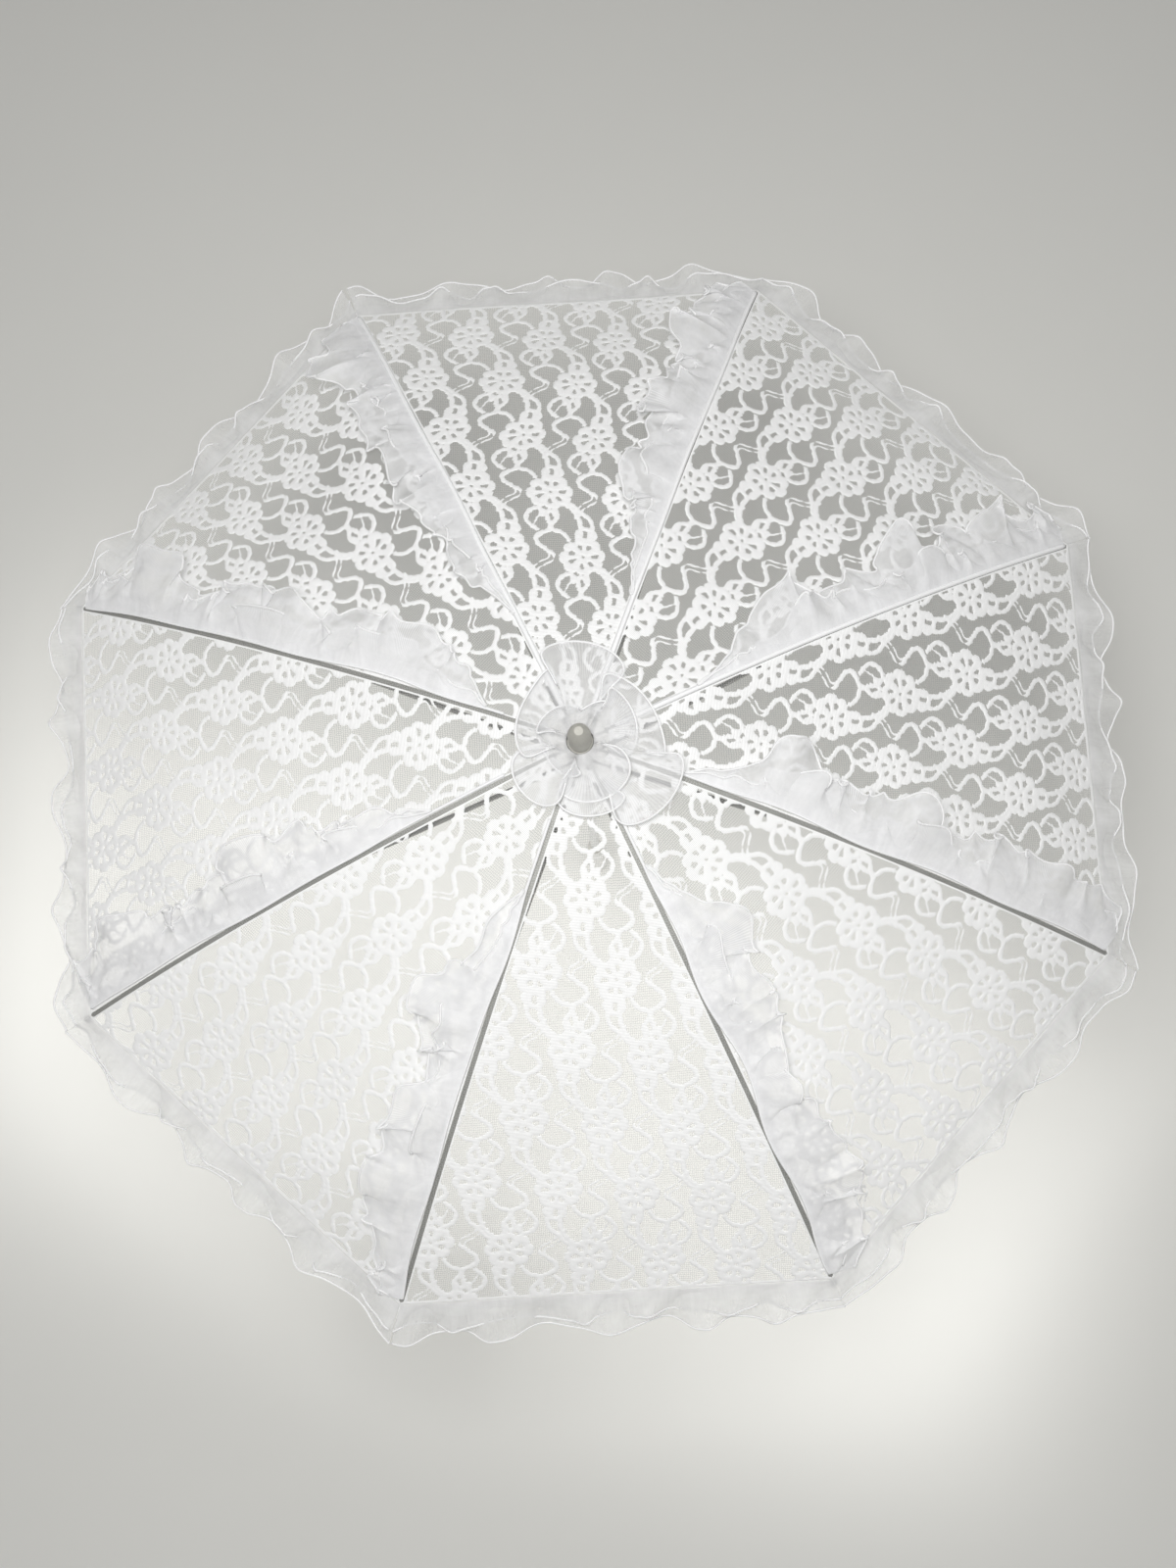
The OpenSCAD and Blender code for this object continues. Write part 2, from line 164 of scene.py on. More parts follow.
def arc_at(t, lift=0.0):
    """Radius and height of a rib's arc at a share t of its length, and lift above it."""
    a = HUB_ANGLE + (TIP_ANGLE - HUB_ANGLE) * t
    return ARC_X + (ARC_RADIUS + lift) * np.cos(a), ARC_Z + (ARC_RADIUS + lift) * np.sin(a)


def half_width(t):
    """Half of a gore's width at a share t of a rib's length."""
    return arc_at(t, NET_LIFT)[0] * math.sin(HALF_STEP)


def cloth_half_width(t):
    """Half of the cloth's own width there: it is gathered in round the crown."""
    return half_width(t) + HUB_GATHER * np.exp(-t * ARC_LENGTH / HUB_GATHER_REACH)


def ripple(v, t, gore):
    """Waves that keep a gore from being a perfect sheet. They die out at its two ribs and at the crown."""
    slow = SLOW_RIPPLE * np.sin(9.1 * t + 1.7 * gore) * np.cos(2.3 * v + 0.9 * gore)
    quick = QUICK_RIPPLE * np.sin(23.0 * t + 2.9 * gore + 2.0 * v)
    return (slow + quick) * np.clip(1 - v * v, 0, 1) * np.clip(6 * t - 0.5, 0, 1)


def gore_points(v, t, gore):
    """Points of the lace over a gore whose middle lies along +X. v is -1 at one rib and 1 at the next."""
    x, z = arc_at(t, NET_LIFT)
    z = z - (1 - v * v) * (GORE_SAG * np.sin(np.pi * np.clip(t, 0, 1)) - ripple(v, t, gore))
    return np.stack([x * math.cos(HALF_STEP) + 0 * v, v * x * math.sin(HALF_STEP), z + 0 * v], axis=-1)


def unit(vectors):
    """The vectors made one long."""
    return vectors / np.maximum(np.linalg.norm(vectors, axis=-1, keepdims=True), 1e-12)


def gore_frame(v, t, gore):
    """Points of the lace with the directions along the rib, across the gore and outwards."""
    p = gore_points(v, t, gore)
    step = 1e-3
    along = unit(gore_points(v, t + step, gore) - gore_points(v, t - step, gore))
    across = unit(gore_points(v + step, t, gore) - gore_points(v - step, t, gore))
    return p, along, across, unit(np.cross(along, across))


def turned(points, azimuth):
    """Points turned about the shaft."""
    c, s = math.cos(azimuth), math.sin(azimuth)
    x, y = points[..., 0], points[..., 1]
    return np.stack([x * c - y * s, x * s + y * c, points[..., 2]], axis=-1)


# ---- Mesh helpers --------------------------------------------------------------------------------
def wave_sum(s, period, harmonics, seed):
    """A smooth random wave of s that repeats after period. harmonics lists the cycles in one period."""
    local = np.random.default_rng(seed)
    total = np.zeros_like(s)
    for n in harmonics:
        total += local.normal() * np.sin(2 * math.pi * n * s / period + local.uniform(0, 2 * math.pi))
    return total / math.sqrt(max(1, len(harmonics)) / 2)


def new_piece(name, points, faces, material, uv=None, smooth=True):
    """A mesh object in the row frame. uv holds a pair for each vertex."""
    mesh = bpy.data.meshes.new(name)
    mesh.from_pydata(np.asarray(points, float).reshape(-1, 3).tolist(), [], faces)
    mesh.materials.append(material)
    if smooth:
        mesh.polygons.foreach_set("use_smooth", np.ones(len(mesh.polygons), bool))
    if uv is not None:
        corner = np.empty(len(mesh.loops), np.int32)
        mesh.loops.foreach_get("vertex_index", corner)
        layer = mesh.uv_layers.new(name="flat")
        layer.data.foreach_set("uv", np.asarray(uv, np.float32).reshape(-1, 2)[corner].ravel())
    mesh.update()
    piece = bpy.data.objects.new(name, mesh)
    bpy.context.scene.collection.objects.link(piece)
    return piece


def grid_faces(rows, cols, start=0):
    """Quads of a grid whose points run row by row."""
    i, j = np.meshgrid(np.arange(rows - 1), np.arange(cols - 1), indexing="ij")
    a = (start + i * cols + j).ravel()
    return np.stack([a, a + cols, a + cols + 1, a + 1], axis=1).tolist()


def tube(path, radius, sides=6):
    """Points and faces of a tube with closed ends along a path."""
    path = np.asarray(path, float)
    tangent = unit(np.gradient(path, axis=0))
    side = np.cross(tangent[0], [0.0, 0.0, 1.0])
    if np.linalg.norm(side) < 1e-6:
        side = np.cross(tangent[0], [1.0, 0.0, 0.0])
    angles = np.arange(sides) * 2 * math.pi / sides
    rings = []
    for p, d in zip(path, tangent):
        side = side - d * (side @ d)
        side = side / np.linalg.norm(side)
        up = np.cross(d, side)
        rings.append(p + radius * (np.cos(angles)[:, None] * side + np.sin(angles)[:, None] * up))
    faces = []
    for i in range(len(path) - 1):
        for j in range(sides):
            k = (j + 1) % sides
            faces.append([i * sides + j, i * sides + k, (i + 1) * sides + k, (i + 1) * sides + j])
    faces.append(list(range(sides))[::-1])
    faces.append([(len(path) - 1) * sides + j for j in range(sides)])
    return np.concatenate(rings), faces


def joined(parts):
    """One list of points and of faces from several."""
    points, faces, start = [], [], 0
    for p, f in parts:
        points.append(np.asarray(p).reshape(-1, 3))
        faces += [[start + n for n in face] for face in f]
        start += len(points[-1])
    return np.concatenate(points), faces


# ---- Materials -----------------------------------------------------------------------------------
class Shader:
    """A small helper that builds a node material around one Principled shader."""

    # The mix node has sockets of the same name for each kind of data, so its colours go by number
    MIX_FIRST, MIX_SECOND, MIX_RESULT = 6, 7, 2

    def __init__(self, name):
        self.material = bpy.data.materials.new(name)
        self.material.use_nodes = True
        self.tree = self.material.node_tree
        self.principled = self.tree.nodes["Principled BSDF"]

    def node(self, kind, inputs=None, **settings):
        n = self.tree.nodes.new(kind)
        for key, value in settings.items():
            setattr(n, key, value)
        for key, value in (inputs or {}).items():
            if isinstance(value, bpy.types.NodeSocket):
                self.tree.links.new(value, n.inputs[key])
            else:
                n.inputs[key].default_value = value
        return n

    def set(self, **values):
        for key, value in values.items():
            socket = self.principled.inputs[key.replace("_", " ")]
            if isinstance(value, bpy.types.NodeSocket):
                self.tree.links.new(value, socket)
            else:
                socket.default_value = value
        return self

    def place(self):
        """Where a point is in its own piece, in metres."""
        return self.node("ShaderNodeTexCoord").outputs["Object"]

    def flat(self):
        """Where a point is on the flat cloth, in metres."""
        return self.node("ShaderNodeUVMap", uv_map="flat").outputs["UV"]

    def stretched(self, vector, scale):
        return self.node("ShaderNodeMapping", {"Vector": vector, "Scale": scale}).outputs["Vector"]

    def noise(self, vector, scale, detail=3.0, roughness=0.55):
        inputs = {"Vector": vector, "Scale": scale, "Detail": detail, "Roughness": roughness}
        return self.node("ShaderNodeTexNoise", inputs).outputs["Fac"]

    def bands(self, vector, scale, distortion=0.0, direction="X"):
        inputs = {"Vector": vector, "Scale": scale, "Distortion": distortion}
        return self.node("ShaderNodeTexWave", inputs, bands_direction=direction).outputs["Fac"]

    def spread(self, value, low, high, from_low=0.0, from_high=1.0):
        """The range from_low to from_high laid over low to high, and held at its ends."""
        inputs = {"Value": value, "From Min": from_low, "From Max": from_high, "To Min": low, "To Max": high}
        return self.node("ShaderNodeMapRange", inputs).outputs["Result"]

    def math(self, operation, a, b=0.0):
        return self.node("ShaderNodeMath", {0: a, 1: b}, operation=operation).outputs[0]

    def ramp(self, value, low, high):
        """Colour that runs from low to high as value goes from 0 to 1."""
        n = self.node("ShaderNodeMix", {"Factor": value}, data_type="RGBA")
        n.inputs[self.MIX_FIRST].default_value = (*low, 1)
        n.inputs[self.MIX_SECOND].default_value = (*high, 1)
        return n.outputs[self.MIX_RESULT]

    def bump(self, height, strength, distance):
        inputs = {"Height": height, "Strength": strength, "Distance": distance}
        return self.node("ShaderNodeBump", inputs).outputs["Normal"]


def lace_thread():
    """Raschel lace: matt white yarn in short knitted rows, a little uneven in density."""
    s = Shader("lace_thread")
    flat = s.flat()
    rows = s.bands(flat, 290, 1.2, "Y")
    loops = s.noise(flat, 1100, 2)
    cover = s.math("ADD", s.math("MULTIPLY", rows, 0.6), s.math("MULTIPLY", loops, 0.4))
    patches = s.noise(flat, 45, 3)
    colour = s.ramp(s.spread(cover, 0, 1, 0.15, 0.7), (0.68, 0.68, 0.67), (0.94, 0.94, 0.935))
    s.set(Base_Color=colour, Roughness=s.spread(patches, 0.7, 0.9), Sheen_Weight=0.25, Sheen_Roughness=0.5,
          Specular_IOR_Level=0.2, Normal=s.bump(cover, 0.5, 0.0003))
    return s.material


def fine_net():
    """The lace's ground: a net of fine diamonds about a millimetre wide, mostly open."""
    s = Shader("fine_net")
    flat = s.flat()
    inputs = {"Vector": s.stretched(flat, (1.0, 0.72, 1.0)), "Scale": 760.0, "Randomness": 0.35}
    cells = s.node("ShaderNodeTexVoronoi", inputs, feature="DISTANCE_TO_EDGE",
                   voronoi_dimensions="2D").outputs["Distance"]
    thread = s.spread(cells, 0.66, 0.0, 0.025, 0.11)
    s.set(Base_Color=s.ramp(s.noise(flat, 60), (0.70, 0.70, 0.68), (0.82, 0.82, 0.80)), Alpha=thread,
          Roughness=0.85, Sheen_Weight=0.2, Specular_IOR_Level=0.1)
    return s.material


def organza(name, sheer, dense, tint, gathers):
    """Sheer plain-woven organza with a silky sheen. sheer and dense are its least and greatest cover. Its
    gathers run from the seam to the free edge, and pack the threads closer near the seam. UV x runs along
    the strip and y from the seam to the edge, in metres."""
    s = Shader(name)
    flat = s.flat()
    weave = s.math("MULTIPLY", s.bands(flat, 640, 0.6, "X"), s.bands(flat, 640, 0.6, "Y"))
    slub = s.noise(flat, 55, 4, 0.6)
    pleats = s.noise(s.stretched(flat, (1.0, 0.12, 1.0)), gathers, 3, 0.6)
    height = s.node("ShaderNodeSeparateXYZ", {"Vector": flat}).outputs["Y"]
    packed = s.spread(height, 1.0, 0.0, 0.0, 0.012)
    cover = s.math("ADD", s.math("MULTIPLY", weave, 0.2), s.math("MULTIPLY", slub, 0.35))
    cover = s.math("ADD", cover, s.math("MULTIPLY", pleats, 0.45))
    veil = s.math("ADD", s.spread(cover, sheer, dense, 0.25, 0.7), s.math("MULTIPLY", packed, 0.25))
    s.set(Base_Color=s.ramp(cover, tint, (0.95, 0.95, 0.955)), Alpha=s.math("MINIMUM", veil, 0.97),
          Roughness=0.45, Sheen_Weight=0.35, Sheen_Roughness=0.35, Specular_IOR_Level=0.3,
          Normal=s.bump(cover, 0.35, 0.0006))
    return s.material


def cord_thread():
    """The frills' corded edge: a glossy white twist."""
    s = Shader("cord_thread")
    place = s.place()
    twist = s.bands(place, 700, 2.0, "DIAGONAL")
    s.set(Base_Color=s.ramp(twist, (0.86, 0.86, 0.86), (0.96, 0.96, 0.96)), Roughness=0.5,
          Sheen_Weight=0.3, Normal=s.bump(twist, 0.5, 0.0003))
    return s.material


def worn_metal(name, dark, light, metallic, roughness):
    """Drawn or plated metal with fine lengthwise scratches and slightly cloudy patches."""
    s = Shader(name)
    place = s.place()
    scratches = s.noise(s.stretched(place, (1.0, 1.0, 0.06)), 900, 4, 0.7)
    cloud = s.noise(place, 55, 3)
    s.set(Base_Color=s.ramp(cloud, dark, light), Metallic=metallic,
          Roughness=s.spread(scratches, roughness - 0.1, roughness + 0.16, 0.3, 0.7),
          Normal=s.bump(scratches, 0.12, 0.0002))
    return s.material


def enamel(name, dark, light, roughness, coat=0.0):
    """Painted or moulded surface: an even colour with faint mottling and orange peel."""
    s = Shader(name)
    place = s.place()
    cloud = s.noise(place, 40, 4, 0.6)
    peel = s.noise(place, 520, 2)
    s.set(Base_Color=s.ramp(cloud, dark, light), Coat_Weight=coat, Coat_Roughness=0.12,
          Roughness=s.spread(peel, roughness - 0.06, roughness + 0.08), Normal=s.bump(peel, 0.08, 0.0002))
    return s.material


def painted_wood():
    """White lacquered wood: the grain telegraphs faintly through the coats."""
    s = Shader("painted_wood")
    place = s.place()
    grain = s.noise(s.stretched(place, (1.0, 1.0, 0.08)), 380, 5, 0.65)
    s.set(Base_Color=s.ramp(grain, (0.80, 0.79, 0.76), (0.90, 0.89, 0.87)),
          Roughness=s.spread(grain, 0.32, 0.45), Coat_Weight=0.35, Coat_Roughness=0.15,
          Normal=s.bump(grain, 0.15, 0.0003))
    return s.material


LACE = lace_thread()
NET = fine_net()
HEM_ORGANZA = organza("hem_organza", 0.22, 0.46, (0.80, 0.80, 0.80), 120)
FRILL_ORGANZA = organza("frill_organza", 0.26, 0.76, (0.86, 0.86, 0.87), 60)
ROSETTE_ORGANZA = organza("rosette_organza", 0.20, 0.52, (0.86, 0.86, 0.87), 70)
CORD = cord_thread()
STEEL = worn_metal("nickel_steel", (0.17, 0.17, 0.155), (0.28, 0.28, 0.26), 0.4, 0.5)
TRIM = worn_metal("satin_nickel", (0.42, 0.41, 0.37), (0.56, 0.55, 0.50), 0.25, 0.66)
WHITE_TUBE = enamel("white_enamel", (0.80, 0.80, 0.79), (0.87, 0.87, 0.86), 0.34, 0.2)
WHITE_PLASTIC = enamel("white_plastic", (0.82, 0.82, 0.80), (0.89, 0.89, 0.88), 0.38)
HANDLE = painted_wood()
FINISH = {
    "frame_steel": STEEL,
    "plated_trim": TRIM,
    "painted_shaft": WHITE_TUBE,
    "white_plastic": WHITE_PLASTIC,
    "painted_handle": HANDLE,
}


def finish_cad_nodes():
    """Gives every hard CAD node the finish of its material slot."""
    slots = {s["node"]: s["material_slot"] for s in frame["record"]["subparts"]}
    for name, piece in frame["nodes"].items():
        material = FINISH.get(slots[name])
        if material is None:
            continue
        for place in piece.material_slots:
            place.link = "OBJECT"
            place.material = material


# ---- The lace's repeat ---------------------------------------------------------------------------
# Millimetres here. One flower at the origin, with the cords that tie it to its neighbours; +Y runs to the
# hem. Depth is the distance into the yarn from the pattern's edge: below zero there is only net.
REPEAT_A = np.array([54.0, 9.0])
REPEAT_B = np.array([36.0, -51.0])
OUTSIDE = -9.0
# The flower's outline: radius at the notches between its petals, and how far the petals stand out
PETALS = 8
FLOWER_NOTCH = 14.2
FLOWER_LOBE = 2.9
LOBE_SQUARENESS = 0.6
FLOWER_SWAY = 0.5
# The eye in its middle and the ring of holes round it, which differ a little in angle and size
EYE = 1.1
HOLES = 7
HOLE_PLACE = 8.3
HOLE_LENGTH = 2.7
HOLE_WIDTH = 1.6
HOLE_FLARE = 0.2
HOLE_DEPTH = 1.8
HOLE_WANDER = 0.12
HOLE_VARIETY = 0.16
# Half widths of cords, fine cords and leaves
CORD_HALF = 1.75
FINE_HALF = 0.72
LEAF_HALF = 2.7
# Height and number of the waves that roughen the yarn's edge
NUB = 0.38
NUB_WAVES = 30
TABLE_SIZE = 240
# Each cord is its half width and the points it is drawn through
CORDS = [
    (CORD_HALF, [(9, 15), (12, 20.5), (17, 24), (23, 24.5), (29, 22), (32.5, 17.5), (31, 12.5), (26, 7.5),
                 (21, 3)]),
    (FINE_HALF, [(21, 3), (21.5, -2), (27, -5.5), (32, -9), (35, -13)]),
    (FINE_HALF, [(24, 5), (24.5, 0.5), (30, -3), (35, -6.5), (38, -11)]),
    (CORD_HALF, [(44, -4), (40, -8.5), (36.8, -14), (35.5, -21), (36.2, -28), (36, -34)]),
    (CORD_HALF, [(34, -12), (29.5, -16), (27.3, -21), (27.5, -27), (30.5, -33), (31, -38)]),
    (CORD_HALF, [(10, -14), (15, -16), (19, -20.5), (19.5, -26), (16.5, -30.5), (13, -34)]),
    (FINE_HALF, [(7, -18), (11, -23), (14, -28), (15.5, -31)]),
    (CORD_HALF, [(-1, -17), (-2.5, -22), (-0.5, -27), (3, -31), (5, -35)]),
    (CORD_HALF, [(2, -17), (4.5, -20.5), (4.5, -25), (3, -30)]),
    (CORD_HALF, [(-13, -12), (-17, -16), (-19, -21), (-16, -25)]),
    (LEAF_HALF, [(-1.5, -18.5), (-2, -22.5)]),
    (LEAF_HALF, [(7.5, -17.5), (8.5, -21)]),
    (LEAF_HALF, [(-8.5, 16.5), (-9.5, 19)]),
    (CORD_HALF, [(-9.5, 20), (-4, 25), (1.5, 22), (3, 16)]),
]


def smooth_line(points, per_span=5):
    """A rounded line through given points."""
    p = np.array([points[0], *points, points[-1]], float)
    out = []
    for i in range(1, len(p) - 2):
        for q in np.linspace(0, 1, per_span, endpoint=False):
            a, b, c, d = p[i - 1], p[i], p[i + 1], p[i + 2]
            out.append(0.5 * (2 * b + (c - a) * q + (2 * a - 5 * b + 4 * c - d) * q ** 2
                              + (3 * b - a - 3 * c + d) * q ** 3))
    return np.array(out + [p[-2]])


def flower_depth(p):
    """A scalloped flower with a small eye and a ring of drop-shaped holes between its spokes."""
    radius = np.hypot(p[..., 0], p[..., 1])
    angle = np.arctan2(p[..., 1], p[..., 0])
    edge = FLOWER_NOTCH + FLOWER_LOBE * np.abs(np.cos(PETALS * angle / 2)) ** LOBE_SQUARENESS
    edge = edge + FLOWER_SWAY * np.cos(3 * angle + 1)
    depth = np.minimum(edge - radius, radius - EYE)
    for k in range(HOLES):
        at = 2 * math.pi * (k + 0.5 + HOLE_WANDER * math.sin(2.3 * k)) / HOLES
        c = np.array([math.cos(at), math.sin(at)])
        size = 1 + HOLE_VARIETY * math.cos(1.9 * k + 1)
        along = p @ c - HOLE_PLACE
        across = p @ np.array([-c[1], c[0]])
        wide = (HOLE_WIDTH + HOLE_FLARE * np.clip(along, -3, 3)) * size
        hole = (1 - np.sqrt((along / HOLE_LENGTH / size) ** 2 + (across / wide) ** 2)) * HOLE_DEPTH
        depth = np.minimum(depth, -hole)
    return depth


def cord_depth(p):
    """The cords that tie the flowers together, and the leaves on them."""
    depth = np.full(p.shape[:-1], OUTSIDE)
    for half, points in CORDS:
        line = smooth_line(points)
        for a, b in zip(line[:-1], line[1:]):
            ab = b - a
            q = np.clip(((p - a) @ ab) / (ab @ ab), 0, 1)
            depth = np.maximum(depth, half - np.linalg.norm(p - a - q[..., None] * ab, axis=-1))
    radius = np.hypot(p[..., 0], p[..., 1])
    return np.where(radius < FLOWER_NOTCH, OUTSIDE, depth)


def nubs(a, b):
    """The yarn's uneven edge, which repeats with the lattice cell: a and b are shares of the cell."""
    local = np.random.default_rng(5)
    total = np.zeros_like(a)
    for _ in range(NUB_WAVES):
        n, m = local.integers(-20, 21), local.integers(-22, 23)
        total += np.sin(2 * math.pi * (n * a + m * b) + local.uniform(0, 2 * math.pi))
    return NUB * total / math.sqrt(NUB_WAVES / 2)


def lace_table():
    """The repeat's depth on a grid over one lattice cell, so that whole gores can be looked up in it."""
    steps = (np.arange(TABLE_SIZE) + 0.5) / TABLE_SIZE
    a, b = np.meshgrid(steps, steps, indexing="ij")
    base = a[..., None] * REPEAT_A + b[..., None] * REPEAT_B
    depth = np.full(a.shape, OUTSIDE)
    for i in (-2, -1, 0, 1):
        for j in (-2, -1, 0, 1):
            p = base + i * REPEAT_A + j * REPEAT_B
            depth = np.maximum(depth, np.maximum(flower_depth(p), cord_depth(p)))
    return depth + nubs(a, b)


LACE_TABLE = lace_table()
TO_CELL = np.linalg.inv(np.stack([REPEAT_A, REPEAT_B], axis=1))


def lace_at(x, y):
    """The pattern's depth in mm at flat points in mm, read from the table between its grid points."""
    cell = np.stack([x, y], axis=-1) @ TO_CELL.T
    cell = (cell - np.floor(cell)) * TABLE_SIZE - 0.5
    low = np.floor(cell).astype(int)
    f = cell - low
    i, j = low[..., 0] % TABLE_SIZE, low[..., 1] % TABLE_SIZE
    k, m = (i + 1) % TABLE_SIZE, (j + 1) % TABLE_SIZE
    u, w = f[..., 0], f[..., 1]
    return (LACE_TABLE[i, j] * (1 - u) * (1 - w) + LACE_TABLE[k, j] * u * (1 - w)
            + LACE_TABLE[i, m] * (1 - u) * w + LACE_TABLE[k, m] * u * w)


def contour_mesh(depth, x, y):
    """Flat faces over the part of a grid where depth is positive, cut smoothly along its edge.
    Returns the points, each one's depth, and the faces."""
    rows, cols = depth.shape
    inside = depth > 0
    gx, gy = np.meshgrid(x, y, indexing="ij")
    points, depths = [np.stack([gx[inside], gy[inside]], axis=1)], [depth[inside]]
    node = np.full(depth.shape, -1)
    node[inside] = np.arange(inside.sum())
    count = inside.sum()
    edges = []
    for axis in (0, 1):
        a = (slice(0, rows - 1), slice(None)) if axis == 0 else (slice(None), slice(0, cols - 1))
        b = (slice(1, rows), slice(None)) if axis == 0 else (slice(None), slice(1, cols))
        cut = inside[a] != inside[b]
        share = (depth[a] / np.where(cut, depth[a] - depth[b], 1))[cut]
        px = gx[a][cut] + share * (gx[b][cut] - gx[a][cut])
        py = gy[a][cut] + share * (gy[b][cut] - gy[a][cut])
        index = np.full(cut.shape, -1)
        index[cut] = count + np.arange(cut.sum())
        count += cut.sum()
        points.append(np.stack([px, py], axis=1))
        depths.append(np.zeros(cut.sum()))
        edges.append(index)
    c = [node[:-1, :-1], node[1:, :-1], node[1:, 1:], node[:-1, 1:]]
    e = [edges[0][:, :-1], edges[1][1:, :], edges[0][:, 1:], edges[1][:-1, :]]
    case = sum((c[k] >= 0).astype(int) << k for k in range(4))
    faces = []
    for number in range(1, 16):
        here = case == number
        ring = []
        for k in range(4):
            if number >> k & 1:
                ring.append(c[k][here])
            if (number >> k & 1) != (number >> (k + 1) % 4 & 1):
                ring.append(e[k][here])
        faces += np.stack(ring, axis=1).tolist()
    return np.concatenate(points), np.concatenate(depths), faces


# ---- Lace gores ----------------------------------------------------------------------------------
def gather_in(piece, rib, side):
    """Gives a half gore's piece its own copy of its mesh."""
    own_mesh(piece)


# Where each gore is cut from the lace
lace_cut = np.random.default_rng(20)


def halves_of(gore, centre):
    """For each half of a gore: its side, the rib it belongs to, its name and its columns of the grid."""
    for side in (1, -1):
        rib = gore if side == 1 else (gore + 1) % RIBS
        columns = slice(0, centre + 1) if side == 1 else slice(centre, None)
        yield side, rib, f"{rib + 1}_{SIDE_NAME[side]}", columns


def make_gore(gore):
    """The net and the lace pattern between a rib and the next one, in two halves that part at the middle."""
    middle = RIB_AZIMUTH[gore] + HALF_STEP
    reach = half_width(1.0)
    count = int(reach / LACE_STEP) + 2
    x = np.arange(-count, count + 1) * LACE_STEP
    y = np.linspace(NET_START, ARC_LENGTH, int((ARC_LENGTH - NET_START) / LACE_STEP))
    gx, gy = np.meshgrid(x, y, indexing="ij")
    shift = lace_cut.uniform(0, 60, 2)
    way = 1 if gore % 2 else -1
    pull = wave_sum(gy, 2 * ARC_LENGTH, (2, 3, 5, 7), 60 + gore) + np.sin(gx / (31 * MM) + gore)
    sway = wave_sum(gy, 2 * ARC_LENGTH, (1, 3, 4), 70 + gore) + np.cos(gx / (37 * MM) + 2 * gore)
    across = way * gx / MM + shift[0] + PULL_ACROSS * pull
    pattern = lace_at(across, way * gy / MM + shift[1] + PULL_ALONG * sway)
    room = (cloth_half_width(gy / ARC_LENGTH) - np.abs(gx)) / MM
    seam = SEAM_BAND / 2 / MM - np.abs(room - (SEAM_GAP + SEAM_BAND / 2) / MM)
    pattern = np.maximum(np.minimum(pattern, room - SEAM_GAP / MM), seam)
    pattern = np.maximum(pattern, HEM_BAND / MM - (ARC_LENGTH - gy) / MM)
    depth = np.minimum(pattern, np.minimum(room, (ARC_LENGTH - gy) / MM + 0.01))
    for side, rib, name, columns in halves_of(gore, count):
        flat, inner, faces = contour_mesh(depth[columns], x[columns], y)
        t = flat[:, 1] / ARC_LENGTH
        v = flat[:, 0] / cloth_half_width(t)
        p, _, _, normal = gore_frame(v, t, gore)
        height = (YARN_EDGE + YARN_RISE * (1 - np.exp(-np.maximum(inner, 0) / YARN_ROUND))) * MM
        raised = turned(p + normal * height[:, None], middle)
        lace = new_piece(f"lace_motifs_{name}", raised, faces, LACE, flat)
        rows = np.linspace(NET_START / ARC_LENGTH, 1, NET_ROWS)
        tt, vv = np.meshgrid(rows, np.linspace(0, -side, NET_COLUMNS), indexing="ij")
        points = turned(gore_points(vv, tt, gore), middle)
        uv = np.stack([vv * cloth_half_width(tt), tt * ARC_LENGTH], axis=-1)
        net = new_piece(f"lace_net_{name}", points, grid_faces(NET_ROWS, NET_COLUMNS), NET, uv)
        for piece in (lace, net):
            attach(piece, f"rib_{rib + 1}")
            gather_in(piece, rib, side)
        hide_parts(f"lace_panel_{rib + 1}")


# ---- Frills --------------------------------------------------------------------------------------
def seam_line(rib, s, length):
    """How far to the side of a rib its frill is sewn, which wanders along the rib."""
    wander = wave_sum(s, length, (1, 2, 3), 300 + rib) * np.clip(s / (60 * MM), 0, 1)
    return (SEAM_OFFSET[rib] + SEAM_WANDER[rib] * wander) * MM


def loop_push(ss, layer, loops):
    """Where the corded edge springs up in loops: how much it stands there, and how far it spreads along."""
    stand = np.zeros_like(ss)
    spread = np.zeros_like(ss)
    for place in loops[:len(LOOP_PLACES) - layer] + LOOP_STAGGER * layer:
        near = (ss - place) / LOOP_SIZE
        stand += np.exp(-near ** 2 / 2)
        spread += near * np.exp(-near ** 2 / 2)
    return stand, spread


